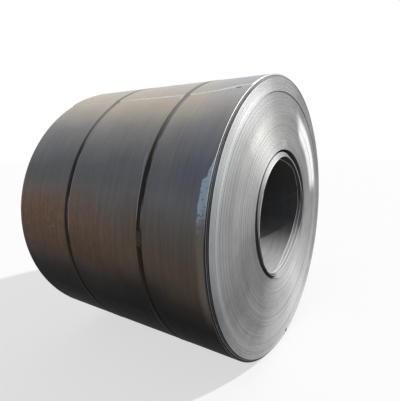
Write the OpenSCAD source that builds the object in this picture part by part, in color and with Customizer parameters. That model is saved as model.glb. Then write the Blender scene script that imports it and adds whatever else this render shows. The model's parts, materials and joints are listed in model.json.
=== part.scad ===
// Coil of hot-rolled steel strip. It lies with its bore level and is tied by two flat steel straps.
// The coil is drawn round the Z axis with its front end up, and then laid down with that end to -Y.

/* [Strip] */
// Width of the strip, which is the length of the coil along its bore
strip_w = 1400; // [1000:1:2000]
// Thickness of the strip, which is the thickness of one turn
strip_t = 5; // [3:0.5:8]
// Number of tight turns between the bore and the rim of the end faces
tight_turns = 99; // [90:1:130]
// Uneven winding: how far a turn strays from its neighbours along the bore
stray = 0.9; // [0.2:0.1:2]

/* [Bore] */
// Diameter of the bore left by the mandrel
bore_d = 762; // [508:1:800]
// Place of the strip's inner end round the bore, in degrees up from the far side
head_angle = 23; // [0:1:60]
// Length of the ramp beside the inner end, along the bore wall
head_ramp = 50; // [35:1:80]
// Height of the step at the inner end, as a share of the strip's thickness
head_step_share = 0.9; // [0.5:0.05:0.95]

/* [Collar] */
// Number of slack inner turns that form the collar round the bore
collar_turns = 3; // [3:1:8]
// How far the collar stands in front of the rim of the face
collar_proud = 4; // [0:1:40]
// Number of innermost turns that step back into the bore
funnel_turns = 2; // [1:1:2]
// Step of each of those turns
funnel_step = 10; // [5:1:25]
// Mean width of the gap round the collar
sag_gap = 24; // [18:1:30]
// How far the slack turns have slipped to one side of that gap
sag_slip = 8; // [0:1:16]
// Where the gap is widest, in degrees up from the far side
sag_angle = 45; // [0:1:90]
// Depth of the gap at each end
sag_depth = 90; // [40:5:150]

/* [End faces] */
// How far the face leans out from its rim to the bore
face_lean = 4; // [0:0.5:25]
// Radius at which the outer zone of the face begins
step_r = 789; // [720:1:850]
// How far the outer zone stands in front of the inner one
step_proud = 6; // [2:0.5:10]
// Radius at the middle of the shallow swell in the face
swell_r = 668; // [600:1:720]
// Radial width of the swell
swell_w = 130; // [60:5:180]
// Height of the swell
swell_h = 5; // [1:0.5:10]
// Number of outermost turns that step back at the rim
rim_turns = 2; // [1:1:4]
// Step of each of those turns
rim_step = 5; // [1:0.5:8]

/* [Outer wrap] */
// Slack between the tight turns and the outer wrap
slack_gap = 3; // [1:0.5:6]
// Depth of the open slack at each end
slack_depth = 70; // [40:5:150]
// How far the outer wrap lies behind the rim of the front face
wrap_setback = 14; // [5:1:40]
// Place of the strip's outer end round the coil, in degrees up from the near side
tail_angle = 56; // [30:1:80]

/* [Straps] */
// Width of a strap
strap_w = 32; // [19:1:50]
// Thickness of a strap
strap_t = 1; // [0.8:0.1:2]
// Front strap's distance behind the front face
front_inset = 385; // [200:1:425]
// Rear strap's distance ahead of the rear face
rear_inset = 455; // [200:1:480]
// Length over which a strap's ends lie on each other
lap_len = 121; // [110:1:200]
// Front strap's joint, in degrees up from the near side
front_joint = 1.3; // [-20:0.1:10]
// Rear strap's joint, in degrees up from the far side
rear_joint = 15; // [0:1:25]

/* [Seals] */
// Length of a crimped seal along its strap
seal_len = 72; // [50:1:100]
// Thickness of the seal's steel
seal_t = 1.5; // [0.8:0.1:2.5]
// Radius of a crimp notch
notch_r = 6; // [3:0.5:8]
// Distance between the two pairs of notches
notch_pitch = 40; // [30:1:45]

/* [Hidden] */
$fn = 180;

steel_color = "#8f8e8b";
strap_color = "#2c2b2a";
seal_color = "#3b3632";

// Cuts run this far past the faces that they open
overrun = 10;
// Turn of the angles that give each turn its own stray
stray_angle_a = 137.5;
stray_angle_b = 61.7;

// Radii of the bore, its collar, the face's rim and the slack,
// and of the outer wrap at the foot and at the top of its tail
bore_r = bore_d / 2;
collar_r = bore_r + collar_turns * strip_t;
rim_r = bore_r + tight_turns * strip_t;
slack_r = rim_r + slack_gap;
foot_r = slack_r + strip_t;
tail_r = foot_r + strip_t;

// The outer wrap winds in by one thickness a turn,
// as two half circles whose centres lie each side of the axis
wind_shift = strip_t / 4;
upper_r = tail_r - wind_shift;
lower_r = foot_r + wind_shift;
tail_theta = 180 - tail_angle;
wide = 2 * tail_r;

// The lowest point is on the straps, under the lower half circle
axis_h = lower_r + strap_t + wind_shift * sin(tail_theta);

front_z = strip_w / 2;
front_strap_z = front_z - front_inset;
rear_strap_z = rear_inset - front_z;
front_theta = 180 - front_joint;
seal_w = strap_w + 2 * seal_t;

// Shift of each turn towards the front. A strip of one width moves both ends alike.
function turn_r(i) = bore_r + i * strip_t;
function stray_at(i) = stray * sin(i * stray_angle_a) * cos(i * stray_angle_b);
function funnel_at(i) = max(funnel_turns - i, 0) * funnel_step;
function lean_at(r) = face_lean * (rim_r - r) / (rim_r - bore_r);
function step_at(r) = r < step_r ? -step_proud : 0;
function rim_at(i) = max(i - tight_turns + 1 + rim_turns, 0) * rim_step;
function swell_at(r) =
    abs(r - swell_r) < swell_w / 2 ? swell_h * pow(cos(180 * (r - swell_r) / swell_w), 2) : 0;
function collar_shift(i) = collar_proud - funnel_at(i);
function face_shift(i, r) = lean_at(r) + step_at(r) + swell_at(r) - rim_at(i);
function turn_shift(i) = stray_at(i) + (i < collar_turns ? collar_shift(i) : face_shift(i, turn_r(i)));

// Section of the tight turns: one step a turn up the front end, and the same steps back down the rear end
module turns_section() {
    slack_z = front_z - slack_depth;
    wrap_mid_r = slack_r + strip_t / 2;
    last = tight_turns - 1;
    front = [for (i = [0 : last], k = [0, 1]) [turn_r(i + k), front_z + turn_shift(i)]];
    rear = [for (i = [last : -1 : 0], k = [1, 0]) [turn_r(i + k), turn_shift(i) - front_z]];
    slack = [[rim_r, slack_z], [wrap_mid_r, slack_z], [wrap_mid_r, -slack_z], [rim_r, -slack_z]];
    polygon(concat(front, slack, rear));
}

// Half plane on one side of the line from the axis to the tail: 1 is below the tail, -1 is over the top
module side_of_tail(side) {
    translate([-wide, side > 0 ? 0 : -wide]) square([2 * wide, wide]);
}

// Outline of the outer wrap grown by d, with the tail along X
module wound_outline(d) {
    intersection() {
        translate([wind_shift, 0]) circle(upper_r + d);
        side_of_tail(-1);
    }
    intersection() {
        translate([-wind_shift, 0]) circle(lower_r + d);
        side_of_tail(1);
    }
}

// Outline of a taut strap: it leaves the tail's edge on a straight line to the wrap below
module taut_outline(d) {
    ramp_angle = acos((lower_r + d) / (tail_r + d + wind_shift));
    touch_x = (lower_r + d) * cos(ramp_angle) - wind_shift;
    touch_y = (lower_r + d) * sin(ramp_angle);
    wound_outline(d);
    polygon([[0, 0], [tail_r + d, 0], [touch_x, touch_y]]);
}

module outer_wrap() {
    translate([0, 0, -wrap_setback])
        linear_extrude(strip_w, center = true)
            rotate(tail_theta)
                difference() {
                    wound_outline(0);
                    circle(slack_r);
                }
}

// Step and ramp left in the bore wall by the strip's inner end
module head_cut() {
    ramp_angle = asin(head_ramp / bore_r);
    inside_r = bore_r - strip_t / 2;
    rotate(head_angle)
        linear_extrude(2 * strip_w, center = true)
            polygon([
                [inside_r, 0],
                [bore_r + head_step_share * strip_t, 0],
                [inside_r * cos(ramp_angle), -inside_r * sin(ramp_angle)]
            ]);
}

// Gap round the collar at one end, widest on the side that the slack turns have left
module sag_cut(end) {
    cut_h = sag_depth + strip_w / 2;
    translate([0, 0, end * (front_z - sag_depth + cut_h / 2)])
        difference() {
            rotate(sag_angle)
                translate([sag_slip, 0, 0])
                    cylinder(h = cut_h, r = collar_r + sag_gap, center = true);
            cylinder(h = 2 * cut_h, r = collar_r, center = true);
        }
}

// Centre and radius of the half circle that the strap lies on at an angle round the coil
function below_tail(theta) = sin(theta - tail_theta) > 0;
function seat_shift(theta) = below_tail(theta) ? -wind_shift : wind_shift;
function seat_r(theta) = below_tail(theta) ? lower_r : upper_r;

module at_joint(theta) {
    rotate(tail_theta) translate([seat_shift(theta), 0]) rotate(theta - tail_theta) children();
}

// Piece of a ring, len long at its inside, across the X axis
module arc_piece(inner_r, outer_r, len) {
    half = 90 * len / (PI * inner_r);
    intersection() {
        difference() {
            circle(outer_r);
            circle(inner_r);
        }
        polygon([[0, 0], [wide * cos(half), -wide * sin(half)], [wide * cos(half), wide * sin(half)]]);
    }
}

module strap(theta) {
    lap_r = seat_r(theta) + strap_t / 2;
    lap_outer_r = seat_r(theta) + 2 * strap_t;
    linear_extrude(strap_w, center = true) {
        rotate(tail_theta)
            difference() {
                taut_outline(strap_t);
                taut_outline(0);
            }
        at_joint(theta) arc_piece(lap_r, lap_outer_r, lap_len);
    }
}

// Crimped seal: a sleeve over both ends of the strap, notched at its edges
module seal(theta) {
    base_r = seat_r(theta);
    lap_outer_r = base_r + 2 * strap_t;
    at_joint(theta)
        difference() {
            linear_extrude(seal_w, center = true) arc_piece(base_r, lap_outer_r + seal_t, seal_len);
            linear_extrude(strap_w, center = true)
                arc_piece(base_r - overrun, lap_outer_r, seal_len + 2 * overrun);
            for (side = [-1, 1], end = [-1, 1])
                translate([base_r - overrun, end * notch_pitch / 2, side * seal_w / 2])
                    rotate([0, 90, 0])
                        cylinder(h = 3 * overrun, r = notch_r);
        }
}

module lay_down() {
    translate([0, 0, axis_h]) rotate([90, 0, 0]) children();
}

module coil() {
    color(steel_color)
        lay_down()
            difference() {
                union() {
                    rotate_extrude() turns_section();
                    outer_wrap();
                }
                head_cut();
                sag_cut(1);
                sag_cut(-1);
            }
}

module strap_front() {
    color(strap_color) lay_down() translate([0, 0, front_strap_z]) strap(front_theta);
}

module strap_rear() {
    color(strap_color) lay_down() translate([0, 0, rear_strap_z]) strap(rear_joint);
}

module seal_front() {
    color(seal_color) lay_down() translate([0, 0, front_strap_z]) seal(front_theta);
}

module seal_rear() {
    color(seal_color) lay_down() translate([0, 0, rear_strap_z]) seal(rear_joint);
}

coil();
strap_front();
strap_rear();
seal_front();
seal_rear();
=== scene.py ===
import json
import math
from typing import NamedTuple

import bpy
import numpy as np
from mathutils import Matrix, Vector


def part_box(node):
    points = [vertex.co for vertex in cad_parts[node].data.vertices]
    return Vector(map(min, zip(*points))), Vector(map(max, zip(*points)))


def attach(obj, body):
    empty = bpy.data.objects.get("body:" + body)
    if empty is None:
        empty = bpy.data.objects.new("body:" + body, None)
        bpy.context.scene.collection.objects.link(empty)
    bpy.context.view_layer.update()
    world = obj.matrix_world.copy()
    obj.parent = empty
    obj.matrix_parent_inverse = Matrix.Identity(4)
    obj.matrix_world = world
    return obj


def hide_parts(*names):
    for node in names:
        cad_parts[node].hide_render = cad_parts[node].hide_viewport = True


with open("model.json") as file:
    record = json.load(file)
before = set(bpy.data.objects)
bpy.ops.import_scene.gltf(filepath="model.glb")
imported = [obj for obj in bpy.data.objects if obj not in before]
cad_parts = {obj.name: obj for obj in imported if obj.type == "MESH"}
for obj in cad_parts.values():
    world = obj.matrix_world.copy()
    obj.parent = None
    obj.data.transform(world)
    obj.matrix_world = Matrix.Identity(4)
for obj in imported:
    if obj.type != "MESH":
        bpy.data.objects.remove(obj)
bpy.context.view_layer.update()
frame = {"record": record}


class Side(NamedTuple):
    """A size that is full at one side of the coil and falls to 0 at an angle from that side."""
    size: float
    side_deg: float
    reach_deg: float

    def at(self, theta):
        """The size at angles round the bore's axis."""
        end = math.cos(math.radians(self.reach_deg))
        near = np.cos(theta - math.radians(self.side_deg))
        return self.size * np.clip((near - end) / (1 - end), 0, 1)


# Sizes of the coil in metres, as in the part's source
MM = 0.001
BORE = frame["record"]["mounts"][0]
BORE_R = BORE["dims"]["r_mm"] * MM
STRIP_W = BORE["dims"]["length_mm"] * MM
AXIS_H = BORE["pos_m"][2]
HALF_W = STRIP_W / 2
STRIP_T = 5 * MM
TIGHT_TURNS = 99
STRAY = 0.9 * MM
STRAY_ANGLES = np.radians([137.5, 61.7])
HEAD_ANGLE = math.radians(23)
HEAD_RAMP = 50 * MM
HEAD_STEP = 4.5 * MM
COLLAR_TURNS = 3
COLLAR_PROUD = 4 * MM
FUNNEL_TURNS = 2
FUNNEL_STEP = 10 * MM
SAG_GAP = 24 * MM
SAG_SLIP = 8 * MM
SAG_ANGLE = math.radians(45)
FACE_LEAN = 4 * MM
STEP_R = 789 * MM
STEP_PROUD = 6 * MM
SWELL_R = 668 * MM
SWELL_W = 130 * MM
SWELL_H = 5 * MM
RIM_TURNS = 2
RIM_STEP = 5 * MM
SLACK_GAP = 3 * MM
WRAP_SETBACK = 14 * MM
TAIL_ANGLE = math.radians(180 - 56)
STRAP_T = 1 * MM
LAP_LEN = 121 * MM
FRONT_JOINT = math.radians(180 - 1.3)
REAR_JOINT = math.radians(15)
SEAL_LEN = 72 * MM
SEAL_T = 1.5 * MM
NOTCH_R = 6 * MM
NOTCH_PITCH = 40 * MM

# Radii and places that follow from them
COLLAR_R = BORE_R + COLLAR_TURNS * STRIP_T
PACK_R = COLLAR_R + SAG_GAP
RIM_R = BORE_R + TIGHT_TURNS * STRIP_T
SLACK_R = RIM_R + SLACK_GAP
FOOT_R = SLACK_R + STRIP_T
TAIL_R = FOOT_R + STRIP_T
WIND_SHIFT = STRIP_T / 4
UPPER_R = TAIL_R - WIND_SHIFT
LOWER_R = FOOT_R + WIND_SHIFT
WRAP_FRONT = WRAP_SETBACK - HALF_W
WRAP_REAR = WRAP_SETBACK + HALF_W

# Fineness of the meshes, and the angles past which their edges are sharp
FRONT_SEGMENTS = 256
REAR_SEGMENTS = 160
WRAP_SEGMENTS = 360
WRAP_ROWS = 48
STRAP_SEGMENTS = 480
STRAP_LINE_SEGMENTS = 12
LAP_SEGMENTS = 24
SEAL_SEGMENTS = 64
SHARP_DEG = 35
BAND_SHARP_DEG = 60
SEAL_SHARP_DEG = 50

# Places of the finishes among a piece's materials: the edges come first, and the flat or the seams next
EDGE_SLOT = 0
SCALE_SLOT = 1
BORE_SLOT = 1
SEAM_SLOT = 1
INNER_SLOT = 2
RIM_SLOT = 3

# Fine form of the turns
GROOVE_D = 1.2 * MM
EDGE_BEVEL = 0.5 * MM
EDGE_CROWN = 0.35 * MM
TURN_WAVE = 0.4 * MM
WAVE_LOBES = (1, 2, 3, 5)
WAVE_DRIFT = 0.5
WAVE_SIZES = (0.4, 1.0)
SEED = 7
END_DEPTH = 140 * MM
SAG_FADE = 140 * MM
PACK_SLIP = 14 * MM
PACK_ANGLE = math.radians(130)
STEP_SIDE = Side(1, 125, 110)
RIM_EASE = Side(10 * MM, 85, 75)

# Fine form of the slack inner turns at the front
FUNNEL_LEAN = [Side(38 * MM, -75, 75), Side(50 * MM, -75, 100), Side(30 * MM, -75, 60)]
FIRST_BACK = 38 * MM
FIRST_SIDE = Side(1.6, 10, 130)
FIRST_DEEP = 100 * MM
FIRST_DEEP_SIDE = Side(1, 100, 55)
COLLAR_BACK = Side(16 * MM, 58, 50)
LOOSE_TURNS = 5
LOOSE_W = 36 * MM
LOOSE_SIDE = Side(1, 132, 60)
LOOSE_EDGE = [(0, GROOVE_D), (0.25, 0), (0.75, 0), (1, EDGE_BEVEL)]
HEAD_SLIT_ANGLE = 1e-3

# Fine form of the wrap, straps and seals. A dent is (size, lobes round, turn per metre, phase).
WRAP_WAVE = 0.5 * MM
WRAP_DENTS = [(0.5, 3, 2.1, 0.0), (0.3, 7, -5.3, 1.0), (0.2, 11, 9.1, 2.0)]
WRAP_BEVEL = 0.8 * MM
TAIL_CURL = math.radians(4)
TAIL_CURL_FROM = -330 * MM
TAIL_CURL_LEN = 300 * MM
STRAP_LINE_ANGLE = 0.11
BAND_BEVEL_SHARE = 0.4
SEAL_SHOULDER_SHARE = 0.6
NOTCH_WIDTH_SHARE = 0.55
NOTCH_PINCH_SHARE = 0.6
NOTCH_DENT_SHARE = 0.5

# Tones of the bare edges, from 0 for dark to 2 for bright: all turns, parts of the front end, collar and wrap
FACE_TONE = 0.44
UNEVEN_ROUND = 0.05
UNEVEN_TURN = 0.045
CALM = Side(0.65, 180, 95)
# From here to the ring, the sizes by angle round the axis are painted highlights and painted shade on the
# front end
TOP_HIGHLIGHT = Side(0.11, 70, 70)
SIDE_HIGHLIGHT = Side(0.06, 160, 45)
LOWER_SHADE = Side(-0.17, 203, 42)
BY_BORE_W = SAG_FADE / 3
BY_BORE_HIGHLIGHT = Side(0.10, 135, 50)
BY_BORE_SHADE = Side(-0.08, -155, 50)
FAR_SHADE = Side(-0.13, 25, 65)
OUTER_HIGHLIGHT = Side(0.15, 125, 75)
RING_R = 806 * MM
RING_W = 18 * MM
RING_HIGHLIGHT = Side(0.18, 180, 85)
# Painted shade on the two outer turns of the front, darkest low on the near side
RIM_SHADE_TONE = [0.08, 0.22]
RIM_SHADE = [Side(2.5, 200, 105), Side(2.5, 205, 115)]
# Painted light and shade on the collar by angle round the axis, with painted highlights on the lips of the
# inner turns
COLLAR_DEG = [-180, -120, -100, -30, 0, 30, 80, 100, 130, 150]
COLLAR_LIGHT_AND_SHADE = [0.12, 0.10, 0.80, 0.95, 0.50, 0.40, 0.42, 0.56, 0.50, 0.36]
COLLAR_EDGE_HIGHLIGHT = [0.80, 0.80, 1.00, 1.20, 0.60, 0.40, 0.45, 1.20, 1.40, 1.30]
# Painted highlight on the wrap's front edge, on its upper near side
WRAP_EDGE_HIGHLIGHT = Side(1, 128, 54)
# Painted highlight on the tail's bare end, brightest at the front
TAIL_HIGHLIGHT = [1.8, 1.6, 0.9]
TAIL_HIGHLIGHT_Y = np.array([-450, 0, 350]) * MM

# Camera and light, read from the photo's outlines and from the shadow in the bore
CAMERA_AT = Vector((-1.888, -1.421, 1.339))
HEADING = math.radians(61.59)
PITCH = math.radians(6.60)
LENS = 27.7
SENSOR = 36.0
SHIFT = (-0.110, -0.0465)
SUN_FROM = Vector((0.40, -1.00, 1.20))
SUN_STRENGTH = 3.2
SUN_SPREAD = math.radians(2)
DOME_STRENGTH = 0.35
FLOOR_SIZE = 60.0
FLOOR_GLOW = 0.65


# Meshes

def polar(r, theta, y):
    """Points at radius r and angle theta round the bore's axis, and y along it."""
    r, theta, y = np.broadcast_arrays(r, theta, y)
    return np.stack([r * np.cos(theta), y, AXIS_H + r * np.sin(theta)], axis=-1)


def grid_faces(rows, columns, closed):
    """Quads of a grid whose rows close on themselves, and whose columns do too if closed."""
    last = columns if closed else columns - 1
    i, j = np.meshgrid(np.arange(rows), np.arange(last), indexing="ij")
    i2, j2 = (i + 1) % rows, (j + 1) % columns
    corners = [i * columns + j, i * columns + j2, i2 * columns + j2, i2 * columns + j]
    return np.stack(corners, axis=-1).reshape(-1, 4)


def grid_piece(name, points, materials, slots=0, closed=True, tone=0.0, sharp_deg=SHARP_DEG):
    """One piece from an array of points (rows, columns, 3), capped at its two ends if it isn't closed."""
    rows, columns = points.shape[:2]
    faces = grid_faces(rows, columns, closed).tolist()
    face_slots = np.broadcast_to(slots, (rows, columns if closed else columns - 1)).ravel().tolist()
    if not closed:
        faces.append([i * columns for i in range(rows)])
        faces.append([i * columns + columns - 1 for i in reversed(range(rows))])
        face_slots += [face_slots[0]] * 2
    mesh = bpy.data.meshes.new(name)
    mesh.from_pydata(points.reshape(-1, 3).tolist(), [], faces)
    for material in materials:
        mesh.materials.append(material)
    mesh.polygons.foreach_set("material_index", face_slots)
    layer = mesh.attributes.new("tone", "FLOAT", "POINT")
    layer.data.foreach_set("value", np.broadcast_to(tone, (rows, columns)).ravel().astype(np.float32))
    mesh.shade_smooth()
    mesh.set_sharp_from_angle(angle=math.radians(sharp_deg))
    mesh.validate()
    piece = bpy.data.objects.new(name, mesh)
    bpy.context.scene.collection.objects.link(piece)
    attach(piece, "root")
    return piece


def join(pieces):
    """The pieces as one object, under the first one's name."""
    bpy.ops.object.select_all(action="DESELECT")
    for piece in pieces:
        piece.select_set(True)
    bpy.context.view_layer.objects.active = pieces[0]
    bpy.ops.object.join()
    return pieces[0]


# Winding of the strip

def turn_shift(i, theta):
    """How far a turn of the faces stands towards the front, by its number from the bore."""
    r = BORE_R + i * STRIP_T
    stray = STRAY * math.sin(i * STRAY_ANGLES[0]) * math.cos(i * STRAY_ANGLES[1])
    lean = FACE_LEAN * (RIM_R - r) / (RIM_R - BORE_R)
    step = STEP_PROUD * STEP_SIDE.at(theta) if r < STEP_R else 0
    across = (r - SWELL_R) / SWELL_W
    swell = SWELL_H * math.cos(math.pi * across) ** 2 if abs(across) < 0.5 else 0
    back = max(i - TIGHT_TURNS + 1 + RIM_TURNS, 0)
    rim = back * (RIM_STEP - RIM_EASE.at(theta) / (RIM_TURNS + 1))
    return stray + lean - step + swell - rim


def collar_shift(i, theta, end):
    """The same for a turn of the collar. At the front the inner ones lean back into the bore on one side."""
    if end > 0:
        return COLLAR_PROUD - FUNNEL_STEP * max(FUNNEL_TURNS - i, 0)
    if i == 0:
        back = FIRST_BACK * np.minimum(FIRST_SIDE.at(theta), 1)
        back = back + FIRST_DEEP * FIRST_DEEP_SIDE.at(theta) ** 2
    else:
        back = COLLAR_BACK.at(theta)
    return COLLAR_PROUD - FUNNEL_LEAN[i].at(theta) - back


def turn_waves(count, theta, seed):
    """Slow unevenness of each turn round the coil, alike in neighbouring turns: (count, angles)."""
    rng = np.random.default_rng(seed)
    waves = np.zeros((count, len(theta)))
    for lobes in WAVE_LOBES:
        phase = np.cumsum(rng.normal(0, WAVE_DRIFT, count))
        size = rng.uniform(*WAVE_SIZES, count) / lobes
        waves += size[:, None] * np.sin(lobes * theta + phase[:, None])
    return waves


def tail_at(y):
    """Angle of the strip's outer end, which curls back over the top at its front corner."""
    curl = np.clip((TAIL_CURL_FROM - y) / TAIL_CURL_LEN, 0, 1)
    return TAIL_ANGLE - TAIL_CURL * curl ** 2


def wrap_r(theta, tail=TAIL_ANGLE):
    """Outside radius of the outer wrap, which winds in by one thickness a turn from its tail over the top."""
    back = (tail - theta) % (2 * np.pi)
    upper = back <= np.pi
    shift = np.where(upper, WIND_SHIFT, -WIND_SHIFT)
    radius = np.where(upper, UPPER_R, LOWER_R)
    return shift * np.cos(back) + np.sqrt(radius ** 2 - (shift * np.sin(back)) ** 2)


def wrap_wave(theta, y):
    """Shallow dents in the outer wrap, inwards only."""
    wave = sum(size * np.sin(lobes * theta + turn * y + phase) for size, lobes, turn, phase in WRAP_DENTS)
    return WRAP_WAVE * (wave - 1)


def mark_front(tones, turn_r, theta):
    """Painted highlights and painted shade on the front end, as the photo shows them, added to the tones of
    its turns.
    """
    by_bore = np.exp(-((turn_r - PACK_R) / BY_BORE_W) ** 2)[:, None]
    outer = (turn_r >= STEP_R)[:, None]
    ring = np.exp(-((turn_r - RING_R) / RING_W) ** 2)[:, None]
    tones += TOP_HIGHLIGHT.at(theta) + SIDE_HIGHLIGHT.at(theta) + LOWER_SHADE.at(theta)
    tones += by_bore * (BY_BORE_HIGHLIGHT.at(theta) + BY_BORE_SHADE.at(theta) + FAR_SHADE.at(theta))
    tones += outer * (OUTER_HIGHLIGHT.at(theta) + FAR_SHADE.at(theta))
    tones += ring * RING_HIGHLIGHT.at(theta)
    # The outer turns are drawn towards a dark tone: painted shade
    # Each turn here is a view of its row, so that this changes the tones themselves
    for turn, rim_tone, rim_dark in zip(tones[-RIM_TURNS:], RIM_SHADE_TONE, RIM_SHADE):
        turn += (rim_tone - turn) * np.minimum(rim_dark.at(theta), 1)


def end_turns(name, end, segments, materials):
    """The tight turns at one end (-1 front, 1 rear), each with a crowned edge and a groove beside it."""
    theta = np.linspace(0, 2 * np.pi, segments, endpoint=False)
    turns = np.arange(COLLAR_TURNS + math.ceil(SAG_GAP / STRIP_T), TIGHT_TURNS)
    waves = turn_waves(len(turns), theta, SEED)
    turn_r = BORE_R + turns * STRIP_T
    uneven = UNEVEN_ROUND * turn_waves(len(turns), theta, SEED + 1)
    uneven += UNEVEN_TURN * np.random.default_rng(SEED + 2).normal(0, 1, len(turns))[:, None]
    tones = FACE_TONE + uneven * (1 - CALM.at(theta))
    if end < 0:
        mark_front(tones, turn_r, theta)

    inside_y = np.full_like(theta, end * (HALF_W - END_DEPTH))
    rows = [(COLLAR_R - EDGE_BEVEL, inside_y, tones[0], SEAM_SLOT), (PACK_R, inside_y, tones[0], INNER_SLOT)]
    across = (0, EDGE_BEVEL, STRIP_T / 2, STRIP_T - EDGE_BEVEL)
    height = (-GROOVE_D, -EDGE_CROWN, 0, -EDGE_CROWN)
    for k, i in enumerate(turns):
        face_y = end * HALF_W - turn_shift(i, theta) - TURN_WAVE * waves[k]
        wall = SEAM_SLOT if i < TIGHT_TURNS - 1 - RIM_TURNS else RIM_SLOT
        for place, drop, slot in zip(across, height, (EDGE_SLOT, EDGE_SLOT, EDGE_SLOT, wall)):
            rows.append((turn_r[k] + place, face_y + end * drop, tones[k], slot))
    rows.append((RIM_R, face_y - end * GROOVE_D, tones[-1], RIM_SLOT))
    rows.append((RIM_R, inside_y - end * STRIP_T, tones[-1], SEAM_SLOT))

    radii, row_y, row_tones, slots = (np.array(column) for column in zip(*rows))
    radii, slots = radii[:, None], slots[:, None]
    points = polar(radii, theta, row_y)
    near_bore = np.clip(1 - (radii - PACK_R) / SAG_FADE, 0, 1) ** 2
    near_bore[0] = 0
    slip, angle = (PACK_SLIP, PACK_ANGLE) if end < 0 else (SAG_SLIP, SAG_ANGLE)
    points[..., 0] += near_bore * slip * math.cos(angle)
    points[..., 2] += near_bore * slip * math.sin(angle)
    if end > 0:
        points, row_tones = points[::-1], row_tones[::-1]
        slots = np.roll(slots[::-1], -1, axis=0)
    return grid_piece(name, points, materials, slots, tone=row_tones)


def collar(name, materials):
    """The slack inner turns, from their front edges over the loose turns and the outside to the rear."""
    ramp = HEAD_RAMP / BORE_R
    even = np.linspace(0, 2 * np.pi, FRONT_SEGMENTS, endpoint=False)
    theta = np.sort(np.concatenate([even, [HEAD_ANGLE - HEAD_SLIT_ANGLE, HEAD_ANGLE, HEAD_ANGLE - ramp]]))
    below = HEAD_ANGLE - theta
    head = np.where((below > 0) & (below < ramp), HEAD_STEP * (1 - below / ramp), 0)
    waves = turn_waves(COLLAR_TURNS, theta, SEED + 3)
    loose = LOOSE_SIDE.at(theta)
    # Tones by angle: painted light and shade, and painted highlights on the lips
    flat_tone = np.interp(np.degrees(theta), COLLAR_DEG, COLLAR_LIGHT_AND_SHADE, period=360)
    edge_tone = np.interp(np.degrees(theta), COLLAR_DEG, COLLAR_EDGE_HIGHLIGHT, period=360)
    rows, slots, tones = [], [], []

    def add(r, y, slot, tone=flat_tone):
        rows.append(polar(r, theta, y))
        slots.append(slot)
        tones.append(tone)

    def add_turn(i, end):
        """One turn's edge, from the bore outwards at the front and back inwards at the rear."""
        inner = BORE_R + i * STRIP_T + (head if i == 0 else 0)
        outer = BORE_R + (i + 1) * STRIP_T
        y = end * HALF_W - collar_shift(i, theta, end) - TURN_WAVE * waves[i]
        lip_tone = edge_tone if end < 0 and i < FUNNEL_TURNS else flat_tone
        edge = [(inner, y - end * EDGE_BEVEL, lip_tone), (inner + EDGE_BEVEL, y, lip_tone),
                (outer - EDGE_BEVEL, y, flat_tone), (outer, y - end * EDGE_BEVEL, flat_tone)]
        for (r, edge_y, tone), slot in zip(edge[::-end], (EDGE_SLOT, EDGE_SLOT, EDGE_SLOT, INNER_SLOT)):
            add(r, edge_y, slot, tone)
        return y

    for i in range(COLLAR_TURNS):
        last_y = add_turn(i, -1)
    slots[-1] = EDGE_SLOT
    for turn in range(LOOSE_TURNS):
        for share, drop in LOOSE_EDGE:
            outwards = LOOSE_W * (turn + share) / LOOSE_TURNS
            add(COLLAR_R + loose * outwards, last_y + loose * drop, EDGE_SLOT)
    slots[-1] = INNER_SLOT
    add(COLLAR_R, END_DEPTH - HALF_W, INNER_SLOT)
    for i in reversed(range(COLLAR_TURNS)):
        add_turn(i, 1)
    slots[-1] = BORE_SLOT
    return grid_piece(name, np.array(rows), materials, np.array(slots)[:, None], tone=np.array(tones))


def outer_wrap(name, materials):
    """The outermost wrap with its tail, as a closed shell over the slack."""
    back = np.linspace(0, 2 * np.pi - STRIP_T / TAIL_R, WRAP_SEGMENTS)
    radius = wrap_r(TAIL_ANGLE - back)
    radius[0] = TAIL_R
    rows, slots = [], []

    def add(r, y, slot, dent=0):
        theta = tail_at(y) - back
        ease = RIM_EASE.at(theta) * np.clip((WRAP_FRONT + END_DEPTH - y) / END_DEPTH, 0, 1)
        rows.append(polar(r + dent * wrap_wave(theta, y), theta, y - ease))
        slots.append(slot)

    for y in np.linspace(WRAP_FRONT + WRAP_BEVEL, WRAP_REAR - WRAP_BEVEL, WRAP_ROWS):
        add(radius, y, SCALE_SLOT, dent=1)
    slots[-1] = EDGE_SLOT
    add(radius - WRAP_BEVEL, WRAP_REAR, EDGE_SLOT, dent=1)
    add(SLACK_R, WRAP_REAR, SCALE_SLOT)
    add(SLACK_R, WRAP_FRONT, EDGE_SLOT)
    add(radius - WRAP_BEVEL, WRAP_FRONT, EDGE_SLOT, dent=1)
    points = np.array(rows)
    table = np.repeat(np.array(slots)[:, None], WRAP_SEGMENTS, axis=1)
    table[:, -1] = EDGE_SLOT
    # Painted highlights along the front edge and on the tail's end
    tone = np.tile(WRAP_EDGE_HIGHLIGHT.at(TAIL_ANGLE - back), (len(rows), 1))
    tone[:, 0] = np.interp(points[:, 0, 1], TAIL_HIGHLIGHT_Y, TAIL_HIGHLIGHT)
    return grid_piece(name, points[:, ::-1], materials, table, tone=tone[:, ::-1])


# Straps and seals

def strap_seat_r(theta, tail):
    """Radius that a taut strap lies at: on the wrap, and on a straight line off the tail's edge."""
    below = (theta - tail) % (2 * np.pi)
    ramp = math.acos(LOWER_R / (TAIL_R + WIND_SHIFT))
    line = LOWER_R / np.cos(np.minimum(below, ramp) - ramp) - WIND_SHIFT * np.cos(below)
    return np.where(below < ramp, line, wrap_r(theta, tail))


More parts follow.
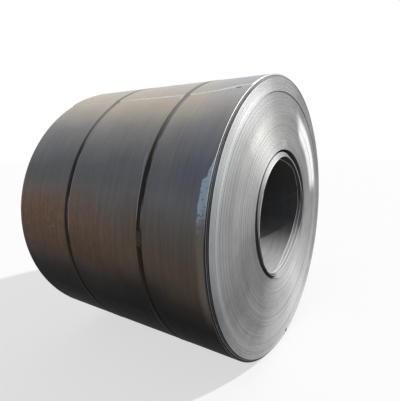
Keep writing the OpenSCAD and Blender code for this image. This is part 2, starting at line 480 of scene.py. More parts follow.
def band(name, theta, seat, mid_y, width, thick, material, closed):
    """A flat steel band along the angles theta. Its tone is 1 on its edges and falls to 0 across its top."""
    half, bevel = width / 2, thick * BAND_BEVEL_SHARE
    profile = [(0, -half + bevel, 1), (bevel, -half, 1), (thick - bevel, -half, 1), (thick, -half + bevel, 1),
               (thick, half - bevel, 0), (thick - bevel, half, 1), (bevel, half, 1), (0, half - bevel, 1)]
    rows = [polar(seat + dr + wrap_wave(theta, mid_y), theta, mid_y + dy) for dr, dy, _ in profile]
    tone = np.array([[edge] for _, _, edge in profile])
    return grid_piece(name, np.array(rows)[::-1], [material], closed=closed, tone=tone[::-1],
                      sharp_deg=BAND_SHARP_DEG)


def strap(name, node, joint, material):
    """One strap: its loop, and the stretch where its ends lie on each other."""
    low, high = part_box(node)
    mid_y, width = (low.y + high.y) / 2, high.y - low.y
    tail = float(tail_at(mid_y))
    around = np.linspace(0, 2 * np.pi, STRAP_SEGMENTS, endpoint=False)
    off_tail = tail + np.linspace(0, STRAP_LINE_ANGLE, STRAP_LINE_SEGMENTS)
    theta = np.sort(np.concatenate([around, off_tail]) % (2 * np.pi))
    loop = band(name, theta, strap_seat_r(theta, tail), mid_y, width, STRAP_T, material, True)
    lap_half = LAP_LEN / 2 / LOWER_R
    over = np.linspace(joint - lap_half, joint + lap_half, LAP_SEGMENTS)
    lap = band(name + "_lap", over, wrap_r(over, tail) + STRAP_T, mid_y, width, STRAP_T, material, False)
    piece = join([loop, lap])
    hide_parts(node)


def seal(name, node, joint, material):
    """A crimped sleeve over a strap's joint, pinched in at two pairs of notches."""
    low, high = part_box(node)
    mid_y, half = (low.y + high.y) / 2, (high.y - low.y) / 2
    half_angle = SEAL_LEN / 2 / LOWER_R
    theta = np.linspace(joint - half_angle, joint + half_angle, SEAL_SEGMENTS)
    along = (theta - joint) * LOWER_R
    notch_w = NOTCH_R * NOTCH_WIDTH_SHARE
    notch = sum(np.exp(-((along - side * NOTCH_PITCH / 2) / notch_w) ** 2) for side in (-1, 1))
    pinch = NOTCH_R * NOTCH_PINCH_SHARE * notch
    dent = SEAL_T * NOTCH_DENT_SHARE * notch
    seat = wrap_r(theta) + wrap_wave(theta, mid_y)
    inner, outer = 2 * STRAP_T, 2 * STRAP_T + SEAL_T
    shoulder, wall = outer * SEAL_SHOULDER_SHARE, half - SEAL_T
    profile = [(0, -half), (shoulder, -half), (outer, -wall), (outer, -half / 2),
               (outer, half / 2), (outer, wall), (shoulder, half), (0, half),
               (0, wall), (inner, wall), (inner, -wall), (0, -wall)]
    rows = []
    for height, dy in profile:
        edge = abs(dy) > half / 2
        shift = -np.sign(dy) * pinch if edge else 0
        drop = dent if edge and height > inner else 0
        rows.append(polar(seat + height - drop, theta, mid_y + dy + shift))
    piece = grid_piece(name, np.array(rows)[::-1], [material], closed=False, sharp_deg=SEAL_SHARP_DEG)
    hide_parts(node)


# Materials

class Grain(NamedTuple):
    """The settings of a noise, which is finer along an axis by its stretch."""
    scale: float
    stretch: tuple = (1, 1, 1)
    detail: float = 3.0
    rough: float = 0.55


class Graph:
    """Short ways to add and link the nodes of one material."""

    def __init__(self, name):
        self.material = bpy.data.materials.new(name)
        self.material.use_nodes = True
        self.tree = self.material.node_tree
        self.shader = self.tree.nodes["Principled BSDF"]
        where = self.tree.nodes.new("ShaderNodeTexCoord").outputs["Object"]
        split = self.tree.nodes.new("ShaderNodeSeparateXYZ")
        self.feed(split.inputs[0], where)
        self.x, self.y = split.outputs[0], split.outputs[1]
        self.up = self.math("SUBTRACT", split.outputs[2], AXIS_H)

    def feed(self, socket, value):
        """Link a socket or set its value. A colour is (red, green, blue)."""
        if isinstance(value, bpy.types.NodeSocket):
            self.tree.links.new(value, socket)
        elif socket.type == "RGBA":
            socket.default_value = (*value, 1.0)
        else:
            socket.default_value = value

    def set(self, **inputs):
        """Feed the shader's sockets, named with _ for a space."""
        for key, value in inputs.items():
            self.feed(self.shader.inputs[key.replace("_", " ")], value)

    def add(self, kind, inputs, out=0, **settings):
        """A new node's output, with its inputs fed and its settings made."""
        node = self.tree.nodes.new(kind)
        for key, value in settings.items():
            setattr(node, key, value)
        for key, value in inputs.items():
            self.feed(node.inputs[key], value)
        return node.outputs[out]

    def math(self, operation, a, b=0.0, c=0.0):
        return self.add("ShaderNodeMath", {0: a, 1: b, 2: c}, operation=operation)

    def tone(self):
        """The mesh's tone at each point."""
        return self.add("ShaderNodeAttribute", {}, out=2, attribute_name="tone")

    def radius(self):
        """Distance from the bore's axis."""
        up_squared = self.math("MULTIPLY", self.up, self.up)
        return self.math("SQRT", self.math("MULTIPLY_ADD", self.x, self.x, up_squared))

    def angle(self):
        """Angle round the bore's axis in degrees: 0 far side, 90 top, 180 near side, -90 bottom."""
        return self.math("MULTIPLY", self.math("ARCTAN2", self.up, self.x), math.degrees(1))

    def full_angle(self):
        """The same angle from 0 to 360, so that it has its seam on the far side."""
        return self.math("MODULO", self.math("ADD", self.angle(), 360.0), 360.0)

    def from_top(self):
        """Angle from the top in degrees, 180 at the bottom, the same on both sides."""
        turn = self.math("ABSOLUTE", self.math("ARCTAN2", self.x, self.up))
        return self.math("MULTIPLY", turn, math.degrees(1))

    def vector(self, places, scales):
        """A vector of places, each times its scale."""
        scaled = [self.math("MULTIPLY", *pair) for pair in zip(places, scales)]
        return self.add("ShaderNodeCombineXYZ", dict(enumerate(scaled)))

    def noise(self, grain, vector=None):
        """Noise at a vector, or by the place on the object if none is given."""
        if vector is None:
            vector = self.vector((self.x, self.y, self.up), grain.stretch)
        inputs = {"Vector": vector, "Scale": grain.scale, "Detail": grain.detail, "Roughness": grain.rough}
        return self.add("ShaderNodeTexNoise", inputs)

    def smooth(self, value, low, high, to_low=0.0, to_high=1.0):
        """A smooth change from to_low, where the value is low, to to_high, where it is high."""
        inputs = {0: value, 1: low, 2: high, 3: to_low, 4: to_high}
        return self.add("ShaderNodeMapRange", inputs, interpolation_type="SMOOTHSTEP")

    def near(self, value, middle, half, fade):
        """1 within half of the middle, fading to 0 beyond it."""
        away = self.math("ABSOLUTE", self.math("SUBTRACT", value, middle))
        return self.smooth(away, half, half + fade, 1.0, 0.0)

    def waver(self, value, noise, size):
        """The value, shifted either way by a noise times the size."""
        return self.math("MULTIPLY_ADD", self.math("SUBTRACT", noise, 0.5), size, value)

    def both(self, *masks):
        """Where all the masks are."""
        result = masks[0]
        for mask in masks[1:]:
            result = self.math("MULTIPLY", result, mask)
        return result

    def mix(self, factor, a, b, blend="MIX"):
        return self.add("ShaderNodeMix", {0: factor, 6: a, 7: b}, out=2, data_type="RGBA", blend_type=blend)

    def paint(self, colour, mask, strength, over):
        """A colour with another laid over it where the mask is."""
        return self.mix(self.math("MULTIPLY", mask, strength), colour, over)

    def tint(self, colour, mask, by):
        """A colour that is multiplied by another where the mask is."""
        return self.mix(mask, colour, self.mix(1.0, colour, by, "MULTIPLY"))

    def ramp(self, value, stops):
        """Colours at places of the value, even between them and beyond the first and the last."""
        low, high = stops[0][0], stops[-1][0]
        node = self.tree.nodes.new("ShaderNodeValToRGB")
        self.feed(node.inputs[0], self.add("ShaderNodeMapRange", {0: value, 1: low, 2: high}))
        elements = node.color_ramp.elements
        while len(elements) < len(stops):
            elements.new(0.5)
        for element, (place, colour) in zip(elements, stops):
            element.position = (place - low) / (high - low)
            element.color = (*colour, 1.0)
        return node.outputs[0]

    def bump(self, height, distance):
        self.set(Normal=self.add("ShaderNodeBump", {"Height": height, "Distance": distance}))


def grey(value, warm=0.0):
    """A grey that is a little warmer or, below zero, cooler."""
    return (value * (1 + warm), value, value * (1 - warm))


# In the materials' values below, places are in degrees from the top or round the bore's axis, or in metres.
# A window is (middle, half, fade), for Graph.near. A span is (low, high), for Graph.smooth.
NOISE_SPAN = (0.2, 0.8)
NOISE_CORE = (0.3, 0.7)

# Mill scale by degrees from the top: painted sky sheen and some dust on top, painted reflections of the
# surroundings in the tints, and painted shade towards the bottom
SCALE_SHEEN_AND_SHADE = [
    (25, grey(0.54)), (36, grey(0.48)), (45, grey(0.385)), (52, grey(0.27)), (60, grey(0.195)),
    (66, grey(0.150)), (76, grey(0.152)), (83, grey(0.112)), (90, grey(0.084)), (98, grey(0.060)),
    (106, grey(0.026)), (116, grey(0.009)),
]
SCALE_REFLECTION_TINT = [
    (25, (1.04, 1.00, 0.91)), (36, (1.14, 1.00, 0.85)), (45, (1.07, 1.00, 0.88)), (53, (1.01, 1.00, 0.98)),
    (64, (0.97, 1.00, 1.09)), (74, (0.97, 1.00, 1.06)), (82, (1.12, 1.00, 0.92)), (90, (1.28, 1.00, 0.78)),
    (100, (1.25, 1.00, 0.79)), (108, (1.02, 1.00, 0.97)), (118, (0.97, 1.00, 1.00)),
]
SCALE_STREAK = Grain(2.0, (1.5, 28.0, 1.5), 6.0, 0.7)
SCALE_CLOUD = Grain(2.2)
SCALE_DRIFT = 14.0
SCALE_SLANT_PER_M = 8.0
# The brown band at the side is a painted reflection of the ground, blotched by noise
GROUND_BLOTCH_GRAIN = Grain(24.0, (1, 1.5, 1), 4.0)
GROUND_REFLECTION_WINDOW = (96.0, 11.0, 11.0)
GROUND_REFLECTION_Y = (-0.55, 0.45)
GROUND_REFLECTION_DULL = (1.08, 0.94, 0.86)
GROUND_REFLECTION_RED = (1.40, 1.14, 1.04)
# The blue-grey on the shoulder is a painted reflection of the horizon
SHOULDER_SPAN = (80.0, 66.0)
SHOULDER_Y = (-0.30, -0.62)
SHOULDER_REFLECTION_BLUE = (0.88, 0.93, 1.06)
STREAK_NOISE = (0.25, 0.75)
STREAK_SHADE = (0.88, 1.12)
STREAK_SPAN = (45.0, 75.0)
STREAK_SHARES = (0.5, 1.0)
PIT_GRAIN = Grain(60.0, (1, 2, 1), 2.0)
PIT_NOISE = (0.66, 0.76)
PIT_STRENGTH = 0.35
PIT_COLOUR = grey(0.02)
SCALE_ROUGH = (0.42, 0.58)
SCALE_SPECULAR = 0.01
SCALE_BUMP = 0.15 * MM

# Wear on the wrap's front edge: a pale patch that widens in a step, and the worn band below it
PATCH_START = (151.0, 154.0)
PATCH_WIDENING = (151.0, 158.4)
PATCH_EDGE_Y = (WRAP_FRONT + 2 * MM, WRAP_FRONT + 20 * MM)
PATCH_STEP = (158.2, 159.8)
PATCH_STEP_W = 23 * MM
PATCH_RAGGED_GRAIN = Grain(30.0)
PATCH_RAGGED = 16 * MM
PATCH_BORDER = (0.0, 4 * MM)
PATCH_FLAKE_GRAIN = Grain(45.0, detail=4.0)
PATCH_FLAKES = 14.0
PATCH_END = (174.0, 167.0)
PATCH_PIT_GRAIN = Grain(70.0)
PATCH_PITS = (0.66, 0.58)
PATCH_STRENGTH = 0.85
PATCH_COLOUR = (0.33, 0.47, 0.62)
WORN_WINDOW = (183.0, 8.0, 16.0)
WORN_BORDER = (-12 * MM, 25 * MM)
WORN_STRENGTH = 0.45
WORN_COLOUR = (0.19, 0.17, 0.145)

# Pale line that runs out from under the front strap
LINE_WINDOW = (162.0, 9.0, 3.0)
LINE_SPAN = (151.0, 163.0)
LINE_Y = (-279 * MM, -296.5 * MM)
LINE_WIDTH = (0.0, 1.0 * MM, 1.5 * MM)
LINE_STRENGTH = 0.7
LINE_COLOUR = (0.34, 0.39, 0.46)

# Small marks on the wrap: window round, window along, strength and colour.
# They are the bright line beside the rear strap, a dark spot by the tail and two pale specks.
WRAP_MARKS = [
    ((165.0, 13.0, 6.0), (226.2 * MM, 1.4 * MM, 1.4 * MM), 0.7, (0.30, 0.32, 0.36)),
    ((121.3, 0.4, 0.3), (-618 * MM, 10 * MM, 8 * MM), 0.8, (0.05, 0.05, 0.06)),
    ((180.3, 0.10, 0.12), (375 * MM, 2.0 * MM, 1.5 * MM), 0.6, grey(0.75)),
    ((125.6, 0.6, 0.4), (-289 * MM, 8 * MM, 6 * MM), 0.6, grey(0.75)),
]


def edge_wear(g, colour, angle):
    """The wrap's colour with the wear on its front edge."""
    step = g.smooth(angle, *PATCH_STEP, 0.0, PATCH_STEP_W)
    edge_y = g.math("ADD", g.smooth(angle, *PATCH_WIDENING, *PATCH_EDGE_Y), step)
    inside = g.math("SUBTRACT", g.waver(edge_y, g.noise(PATCH_RAGGED_GRAIN), PATCH_RAGGED), g.y)
    flakes = g.smooth(g.waver(angle, g.noise(PATCH_FLAKE_GRAIN), PATCH_FLAKES), *PATCH_END)
    whole = g.smooth(g.noise(PATCH_PIT_GRAIN), *PATCH_PITS)
    patch = g.both(g.smooth(inside, *PATCH_BORDER), g.smooth(angle, *PATCH_START), flakes, whole)
    colour = g.paint(colour, patch, PATCH_STRENGTH, PATCH_COLOUR)
    worn = g.both(g.smooth(inside, *WORN_BORDER), g.near(angle, *WORN_WINDOW))
    return g.paint(colour, worn, WORN_STRENGTH, WORN_COLOUR)


def wrap_marks(g, colour, angle):
    """The wrap's colour with its pale line and small marks."""
    off_line = g.math("SUBTRACT", g.y, g.smooth(angle, *LINE_SPAN, *LINE_Y))
    line = g.both(g.near(off_line, *LINE_WIDTH), g.near(angle, *LINE_WINDOW))
    colour = g.paint(colour, line, LINE_STRENGTH, LINE_COLOUR)
    for round_window, along_window, strength, mark_colour in WRAP_MARKS:
        mark = g.both(g.near(angle, *round_window), g.near(g.y, *along_window))
        colour = g.paint(colour, mark, strength, mark_colour)
    return colour


def mill_scale(name):
    """Oxide skin of the strip with painted light: sky sheen and dust on top, blue-grey reflection on the
    shoulder, brown ground reflection at the side, and shade below.
    """
    g = Graph(name)
    streak = g.noise(SCALE_STREAK)
    fall = g.waver(g.from_top(), g.noise(SCALE_CLOUD), SCALE_DRIFT)
    slanted = g.math("MULTIPLY_ADD", g.y, SCALE_SLANT_PER_M, fall)
    # Painted sky sheen and shade by angle from the top, tinted by painted reflections
    colour = g.mix(1.0, g.ramp(fall, SCALE_SHEEN_AND_SHADE), g.ramp(slanted, SCALE_REFLECTION_TINT), "MULTIPLY")
    blotch = g.smooth(g.noise(GROUND_BLOTCH_GRAIN), *NOISE_CORE)
    # Painted reflection of the ground: a blotched brown band at the side
    ground_reflection = g.both(g.smooth(g.y, *GROUND_REFLECTION_Y), g.near(fall, *GROUND_REFLECTION_WINDOW))
    colour = g.tint(colour, ground_reflection, g.mix(blotch, GROUND_REFLECTION_DULL, GROUND_REFLECTION_RED))
    # Painted reflection: blue-grey on the shoulder
    shoulder = g.both(g.smooth(g.y, *SHOULDER_Y), g.smooth(fall, *SHOULDER_SPAN))
    colour = g.tint(colour, shoulder, SHOULDER_REFLECTION_BLUE)
    shade = g.smooth(streak, *STREAK_NOISE, *STREAK_SHADE)
    colour = g.mix(g.smooth(fall, *STREAK_SPAN, *STREAK_SHARES), colour, shade, "MULTIPLY")
    pits = g.smooth(g.noise(PIT_GRAIN), *PIT_NOISE)
    colour = g.paint(colour, pits, PIT_STRENGTH, PIT_COLOUR)
    angle = g.full_angle()
    colour = wrap_marks(g, edge_wear(g, colour, angle), angle)
    rough = g.smooth(streak, *NOISE_SPAN, *SCALE_ROUGH)
    g.set(Base_Color=colour, Roughness=rough, Specular_IOR_Level=SCALE_SPECULAR)
    g.bump(streak, SCALE_BUMP)
    return g.material


# Bare edges by the mesh's tone, and the cooler and warmer parts of the front
EDGE_COLOURS = [
    (0.0, grey(0.08)), (0.4, grey(0.40)), (0.6, grey(0.49)), (1.0, grey(0.70)), (2.0, grey(0.95, 0.07)),
]
EDGE_CLOUD_GRAIN = Grain(4.0, detail=4.0)
EDGE_CLOUD = 0.4
FRONT_Y = (-0.5, -0.6)
COOL_WINDOW = (180.0, 16.0, 24.0)
COOL_R = (0.74, 0.80)
COOL_TINT = (0.96, 1.0, 1.02)
WARM_WINDOW = (122.0, 14.0, 20.0)
WARM_R = (0.60, 0.08, 0.08)
WARM_TINT = (1.005, 1.0, 0.975)
EDGE_METALLIC = (1.0, 0.1)
EDGE_ROUGH = (0.77, 0.83)
LOWER_UP = (0.1, -0.4)
LOWER_ROUGH = (0.0, 0.14)
EDGE_ANISOTROPY = 0.75
EDGE_ANISOTROPY_TURN = 0.27

# Painted highlight: a bright glint streak on the far side of the front, which bends out and narrows towards
# the top
GLINT_BEND = (58.0, 72.0)
GLINT_R = (0.646, 0.690)
GLINT_TAPER = (52.0, 74.0)
GLINT_HALF_W = (0.030, 0.004)
GLINT_FADE = (0.0, 0.075)
GLINT_LOW_END = (4.0, 18.0)
GLINT_HIGH_END = (76.0, 60.0)
GLINT_COLOUR = grey(0.95)

# Scuffs in short dashes along the turns: window round, window out from the axis, and strength
DASHES_PER_DEG = 0.6
DASHES_PER_M = 220.0
DASH_GRAIN = Grain(1.0, detail=2.0, rough=0.6)
DASH_NOISE = (0.48, 0.62)
FACE_SCUFFS = [((90.0, 1.0, 9.0), (0.468, 0.004, 0.034), 0.8), ((130.0, 4.0, 9.0), (0.62, 0.020, 0.05), 0.4)]
FACE_SCUFF_COLOUR = grey(0.92)

# Dark nicks at the bottom of the front: window round, and window out from the axis
NICKS = [((-85.0, 0.7, 0.4), (0.856, 0.007, 0.004)), ((-87.6, 0.4, 0.4), (0.864, 0.003, 0.003))]
NICK_COLOUR = grey(0.02)


def glint_streak(g, angle, radius):
    """Where the painted glint lies on the face, fading at either end."""
    middle = g.smooth(angle, *GLINT_BEND, *GLINT_R)
    across = g.math("ABSOLUTE", g.math("SUBTRACT", radius, middle))
    beyond = g.math("SUBTRACT", across, g.smooth(angle, *GLINT_TAPER, *GLINT_HALF_W))
    ends = g.both(g.smooth(angle, *GLINT_LOW_END), g.smooth(angle, *GLINT_HIGH_END))
    return g.both(g.smooth(beyond, *GLINT_FADE, 1.0, 0.0), ends)


def face_marks(g, colour, angle, radius, front):
    """The front's colour with its scuffs and nicks."""
    by_turn = g.vector((angle, radius), (DASHES_PER_DEG, DASHES_PER_M))
    dashes = g.smooth(g.noise(DASH_GRAIN, by_turn), *DASH_NOISE)
    for round_window, out_window, strength in FACE_SCUFFS:
        scuff = g.both(dashes, g.near(angle, *round_window), g.near(radius, *out_window), front)
        colour = g.paint(colour, scuff, strength, FACE_SCUFF_COLOUR)
    for round_window, out_window in NICKS:
        nick = g.both(g.near(angle, *round_window), g.near(radius, *out_window), front)
        colour = g.mix(nick, colour, NICK_COLOUR)
    return colour


def bare_edge(name):
    """Bare sheared edges of the strip, with a painted highlight streak on the far side of the front."""
    g = Graph(name)
    angle, full_angle, radius = g.angle(), g.full_angle(), g.radius()
    front = g.smooth(g.y, *FRONT_Y)
    cloud = g.noise(EDGE_CLOUD_GRAIN)
    colour = g.ramp(g.waver(g.tone(), cloud, EDGE_CLOUD), EDGE_COLOURS)
    cool = g.both(g.smooth(radius, *COOL_R), g.near(full_angle, *COOL_WINDOW), front)
    colour = g.tint(colour, cool, COOL_TINT)
    warm = g.both(g.near(radius, *WARM_R), g.near(full_angle, *WARM_WINDOW), front)
    colour = g.tint(colour, warm, WARM_TINT)
    # Painted highlight: the glint streak
    painted_highlight = g.both(glint_streak(g, angle, radius), front)
    colour = g.mix(painted_highlight, colour, GLINT_COLOUR)
    colour = face_marks(g, colour, angle, radius, front)
    rough = g.math("ADD", g.smooth(cloud, *NOISE_CORE, *EDGE_ROUGH), g.smooth(g.up, *LOWER_UP, *LOWER_ROUGH))
    g.set(Base_Color=colour, Metallic=g.smooth(painted_highlight, 0.0, 1.0, *EDGE_METALLIC), Roughness=rough)
    g.set(Anisotropic=EDGE_ANISOTROPY, Anisotropic_Rotation=EDGE_ANISOTROPY_TURN)
    g.set(Tangent=g.add("ShaderNodeTangent", {}, direction_type="RADIAL", axis="Y"))
    return g.material


# Scale on the walls of the turns: by noise, by degrees round the bore's axis, and by degrees from the top
SEAM_GRAIN = Grain(12.0, (1, 3, 1), 4.0)
SEAM_COLOURS = [(0.3, grey(0.012)), (0.7, grey(0.035, 0.06))]
DUST_WINDOW = (170.0, 25.0, 60.0)
DUST_Y = (-0.66, -0.68)
DUST_STRENGTH = 0.9
DUST_COLOUR = grey(0.35)
# Painted light and shade on the walls of the inner turns, by angle round the axis
INNER_LIGHT_AND_SHADE = [
    (-170, grey(0.06)), (-113, grey(0.06)), (-98, grey(0.45)), (-40, grey(0.52)), (-20, grey(0.22)),
    (10, grey(0.05)), (85, grey(0.03)), (105, grey(0.30)), (130, grey(0.38)), (152, grey(0.22)),
    (170, grey(0.07)),
]
INNER_GRAIN = Grain(9.0, (1, 4, 1), 4.0)
INNER_DRIFT = 30.0
# Painted shade on the rim's walls by degrees from the top, tinted like the wrap's painted reflections
RIM_WALL_SHADE_COLOURS = [
    (40, grey(0.08, -0.04)), (58, grey(0.06, -0.06)), (70, grey(0.09, -0.07)), (82, grey(0.035, -0.03)),
    (92, grey(0.030, 0.03)), (110, grey(0.03, 0.08)), (130, grey(0.015, 0.05)),
]
RIM_GRAIN = Grain(14.0, (1, 3, 1), 4.0)
RIM_DRIFT = 16.0
WALL_ROUGH = 0.6
WALL_SPECULAR = 0.06
INNER_SPECULAR = 0.08


def seam_scale(name):
    """Dark scale on the walls between the turns, dusty on the near side of the front."""
    g = Graph(name)
    colour = g.ramp(g.noise(SEAM_GRAIN), SEAM_COLOURS)
    dusty = g.both(g.near(g.full_angle(), *DUST_WINDOW), g.smooth(g.y, *DUST_Y))
    colour = g.paint(colour, dusty, DUST_STRENGTH, DUST_COLOUR)
    g.set(Base_Color=colour, Roughness=WALL_ROUGH, Specular_IOR_Level=WALL_SPECULAR)
    return g.material


def inner_scale(name):
    """Scale on the walls of the slack inner turns, with painted light and shade by angle round the axis."""
    g = Graph(name)
    colour = g.ramp(g.waver(g.angle(), g.noise(INNER_GRAIN), INNER_DRIFT), INNER_LIGHT_AND_SHADE)
    g.set(Base_Color=colour, Roughness=WALL_ROUGH, Specular_IOR_Level=INNER_SPECULAR)
    return g.material


def rim_scale(name):
    """Scale on the outer walls of the turns at the rim, in painted shade with painted reflection tints:
    blue-grey above, brown-black below.
    """
    g = Graph(name)
    colour = g.ramp(g.waver(g.from_top(), g.noise(RIM_GRAIN), RIM_DRIFT), RIM_WALL_SHADE_COLOURS)
    g.set(Base_Color=colour, Roughness=WALL_ROUGH, Specular_IOR_Level=WALL_SPECULAR)
    return g.material


# Scale on the bore wall by degrees from the top, painted light at the bottom and painted shade above, and a
# faint brown line along the wall
BORE_WALL_LIGHT_AND_SHADE = [
    (60, grey(0.033, 0.05)), (105, grey(0.062, -0.12)), (122, grey(0.12)), (140, grey(0.34)),
    (155, grey(0.46)),
]
BORE_STREAK = Grain(2.0, (2.0, 20.0, 2.0), 4.0)
BORE_SHADE = (0.9, 1.1)
BORE_ROUGH = (0.45, 0.6)
BORE_SPECULAR = 0.08
BORE_LINE_Y = (-0.376, -0.659)
BORE_LINE_POWER = 1.5
BORE_LINE_BEND = 19.5
BORE_LINE_DEG = -4.2
BORE_LINE_WIDTH = (0.0, 0.25, 0.35)
BORE_LINE_END = (-0.36, -0.39)
BORE_LINE_STRENGTH = 0.5
BORE_LINE_COLOUR = (0.11, 0.09, 0.075)


def bore_scale(name):
    """Scale on the bore wall, with painted light at the bottom and painted shade above."""
    g = Graph(name)
    streak = g.noise(BORE_STREAK)
    shade = g.smooth(streak, *NOISE_SPAN, *BORE_SHADE)
    # Painted light at the bottom and painted shade above
    colour = g.mix(1.0, g.ramp(g.from_top(), BORE_WALL_LIGHT_AND_SHADE), shade, "MULTIPLY")
    along = g.add("ShaderNodeMapRange", {0: g.y, 1: BORE_LINE_Y[0], 2: BORE_LINE_Y[1]})
    bend = g.math("MULTIPLY_ADD", g.math("POWER", along, BORE_LINE_POWER), BORE_LINE_BEND, BORE_LINE_DEG)
    off_line = g.math("SUBTRACT", g.angle(), bend)
    line = g.both(g.near(off_line, *BORE_LINE_WIDTH), g.smooth(g.y, *BORE_LINE_END))
    colour = g.paint(colour, line, BORE_LINE_STRENGTH, BORE_LINE_COLOUR)
    rough = g.smooth(streak, *NOISE_SPAN, *BORE_ROUGH)
    g.set(Base_Color=colour, Roughness=rough, Specular_IOR_Level=BORE_SPECULAR)
    return g.material


# Strap by noise, with dust and a painted sky sheen on top, a painted brown reflection at the side and painted
# shade below, all by degrees from the top
STRAP_GRAIN = Grain(3.0, (2.0, 90.0, 2.0), 5.0)
STRAP_COLOURS = [(0.35, grey(0.011)), (0.8, grey(0.030, 0.05))]
# Painted sky sheen with dust on top, painted brown reflection at the side and painted shade below
STRAP_SHEEN_AND_DUST_SPAN = (65.0, 33.0)
STRAP_SHEEN_AND_DUST_STRENGTH = 0.75
STRAP_SHEEN_AND_DUST_COLOUR = grey(0.36, 0.03)
STRAP_REFLECTION_SPAN = (78.0, 90.0)
STRAP_REFLECTION_BROWN = (0.020, 0.012, 0.007)
STRAP_SHADE_SPAN = (102.0, 114.0)
STRAP_SHADE_BLACK = grey(0.005)
# The upper edges get a painted highlight
STRAP_HIGHLIGHT_TONE = (0.55, 1.0)
STRAP_HIGHLIGHT_GRAIN = Grain(5.0)
STRAP_HIGHLIGHT_NOISE = (0.42, 0.62)
STRAP_HIGHLIGHT_SPAN = (95.0, 75.0)
STRAP_HIGHLIGHT = grey(0.22)
STRAP_NOISE = (0.3, 0.8)
STRAP_ROUGH = (0.5, 0.65)
STRAP_SPECULAR = 0.03
STRAP_BUMP = 0.1 * MM


def strap_steel(name):
    """Black waxed strap, with a painted highlight along its upper edges."""
    g = Graph(name)
    fall = g.from_top()
    scuff = g.noise(STRAP_GRAIN)
    colour = g.ramp(scuff, STRAP_COLOURS)
    # Painted sheen with dust on top, painted brown reflection at the side, painted shade below
    colour = g.paint(colour, g.smooth(fall, *STRAP_SHEEN_AND_DUST_SPAN), STRAP_SHEEN_AND_DUST_STRENGTH, STRAP_SHEEN_AND_DUST_COLOUR)
    colour = g.mix(g.smooth(fall, *STRAP_REFLECTION_SPAN), colour, STRAP_REFLECTION_BROWN)
    colour = g.mix(g.smooth(fall, *STRAP_SHADE_SPAN), colour, STRAP_SHADE_BLACK)
    # Painted highlight on the upper edges
    patchy = g.smooth(g.noise(STRAP_HIGHLIGHT_GRAIN), *STRAP_HIGHLIGHT_NOISE)
    painted_highlight = g.both(g.smooth(g.tone(), *STRAP_HIGHLIGHT_TONE), patchy, g.smooth(fall, *STRAP_HIGHLIGHT_SPAN))
    colour = g.mix(painted_highlight, colour, STRAP_HIGHLIGHT)
    rough = g.smooth(scuff, *STRAP_NOISE, *STRAP_ROUGH)
    g.set(Base_Color=colour, Roughness=rough, Specular_IOR_Level=STRAP_SPECULAR)
    g.bump(scuff, STRAP_BUMP)
    return g.material


# Seal by noise
SEAL_GRAIN = Grain(60.0, detail=4.0)
SEAL_COLOURS = [(0.3, (0.020, 0.015, 0.012)), (0.75, (0.060, 0.045, 0.036))]
SEAL_NOISE = (0.3, 0.8)
SEAL_ROUGH = (0.45, 0.65)
SEAL_SPECULAR = 0.08
SEAL_BUMP = 0.2 * MM


def seal_steel(name):
    """Dark brown seal with uneven wear."""
    g = Graph(name)
    wear = g.noise(SEAL_GRAIN)
    rough = g.smooth(wear, *SEAL_NOISE, *SEAL_ROUGH)
    g.set(Base_Color=g.ramp(wear, SEAL_COLOURS), Roughness=rough, Specular_IOR_Level=SEAL_SPECULAR)
    g.bump(wear, SEAL_BUMP)
    return g.material


# Stage

FLOOR_GRAIN = Grain(1.5, detail=2.0)
FLOOR_COLOURS = [(0.0, grey(0.80)), (1.0, grey(0.84))]
FLOOR_ROUGH = 0.9
WHITE = (1.0, 1.0, 1.0)


def seen_rays(tree):
    """1 for rays from the camera and through gloss or glass, 0 for the rest."""
    rays = tree.nodes.new("ShaderNodeLightPath").outputs
    seen = rays["Is Camera Ray"]
    for kind in ("Is Glossy Ray", "Is Transmission Ray"):
        either = tree.nodes.new("ShaderNodeMath")
        either.operation = "MAXIMUM"
        tree.links.new(seen, either.inputs[0])
        tree.links.new(rays[kind], either.inputs[1])
        seen = either.outputs[0]
    return seen


def pale_floor(name):
    """Plain pale floor, nearly white to the camera but for the object's shadow."""
    g = Graph(name)
    g.set(Base_Color=g.ramp(g.noise(FLOOR_GRAIN), FLOOR_COLOURS), Roughness=FLOOR_ROUGH)
    glow = g.math("MULTIPLY", seen_rays(g.tree), FLOOR_GLOW)
    white = g.add("ShaderNodeEmission", {"Color": WHITE, "Strength": 1.0})
    mixed = g.add("ShaderNodeMixShader", {0: glow, 1: g.shader.outputs[0], 2: white})
    g.feed(g.tree.nodes["Material Output"].inputs["Surface"], mixed)
    return g.material


def camera():
    """The photo's camera. Its shift is there because the photo is a crop."""
    data = bpy.data.cameras.new("camera")
    data.lens = LENS
    data.sensor_width = SENSOR
    data.shift_x, data.shift_y = SHIFT
    eye = bpy.data.objects.new("camera", data)
    level = math.cos(PITCH)
    forward = Vector((math.sin(HEADING) * level, math.cos(HEADING) * level, -math.sin(PITCH)))
    eye.matrix_world = Matrix.Translation(CAMERA_AT) @ forward.to_track_quat("-Z", "Y").to_matrix().to_4x4()
    bpy.context.scene.collection.objects.link(eye)
    bpy.context.scene.camera = eye


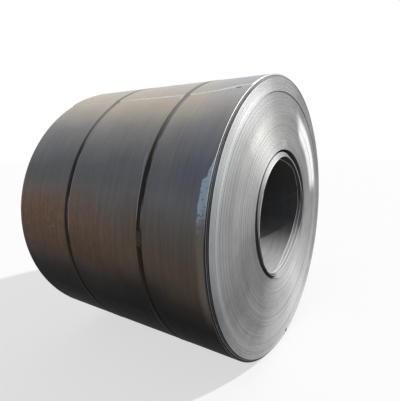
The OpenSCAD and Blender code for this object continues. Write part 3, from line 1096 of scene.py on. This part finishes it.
def sun():
    """The light that throws the shadow in the bore."""
    data = bpy.data.lights.new("sun", "SUN")
    data.energy = SUN_STRENGTH
    data.angle = SUN_SPREAD
    lamp = bpy.data.objects.new("sun", data)
    lamp.rotation_euler = (-SUN_FROM).to_track_quat("-Z", "Y").to_euler()
    bpy.context.scene.collection.objects.link(lamp)


def dome():
    """Even soft light from all round, which shows as white behind the object and in its gloss."""
    world = bpy.data.worlds.new("dome")
    world.use_nodes = True
    bpy.context.scene.world = world
    tree = world.node_tree
    strength = tree.nodes.new("ShaderNodeMapRange")
    strength.inputs["To Min"].default_value = DOME_STRENGTH
    tree.links.new(seen_rays(tree), strength.inputs["Value"])
    background = tree.nodes["Background"]
    background.inputs["Color"].default_value = (*WHITE, 1.0)
    tree.links.new(strength.outputs[0], background.inputs["Strength"])


def floor():
    """A wide square to stand on."""
    half = FLOOR_SIZE / 2
    corners = [(-half, -half, 0), (half, -half, 0), (half, half, 0), (-half, half, 0)]
    mesh = bpy.data.meshes.new("floor")
    mesh.from_pydata(corners, [], [(0, 1, 2, 3)])
    mesh.materials.append(pale_floor("pale_floor"))
    ground = bpy.data.objects.new("floor", mesh)
    bpy.context.scene.collection.objects.link(ground)


# The object

edge_finish = bare_edge("bare_edge")
scale_finish = mill_scale("mill_scale")
seam_finish = seam_scale("seam_scale")
inner_finish = inner_scale("inner_scale")
rim_finish = rim_scale("rim_scale")
bore_finish = bore_scale("bore_scale")
strap_finish = strap_steel("strap_steel")
seal_finish = seal_steel("seal_steel")

turn_finishes = [edge_finish, seam_finish, inner_finish, rim_finish]
coil_pieces = [
    end_turns("coil_front_turns", -1, FRONT_SEGMENTS, turn_finishes),
    end_turns("coil_rear_turns", 1, REAR_SEGMENTS, turn_finishes),
    collar("coil_collar", [edge_finish, bore_finish, inner_finish]),
    outer_wrap("coil_outer_wrap", [edge_finish, scale_finish]),
]
for piece in coil_pieces:
    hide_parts("coil")

strap("strap_front_band", "strap_front", FRONT_JOINT, strap_finish)
strap("strap_rear_band", "strap_rear", REAR_JOINT, strap_finish)
seal("seal_front_sleeve", "seal_front", FRONT_JOINT, seal_finish)
seal("seal_rear_sleeve", "seal_rear", REAR_JOINT, seal_finish)

camera()
sun()
dome()
floor()
bpy.context.scene.view_settings.view_transform = "Standard"
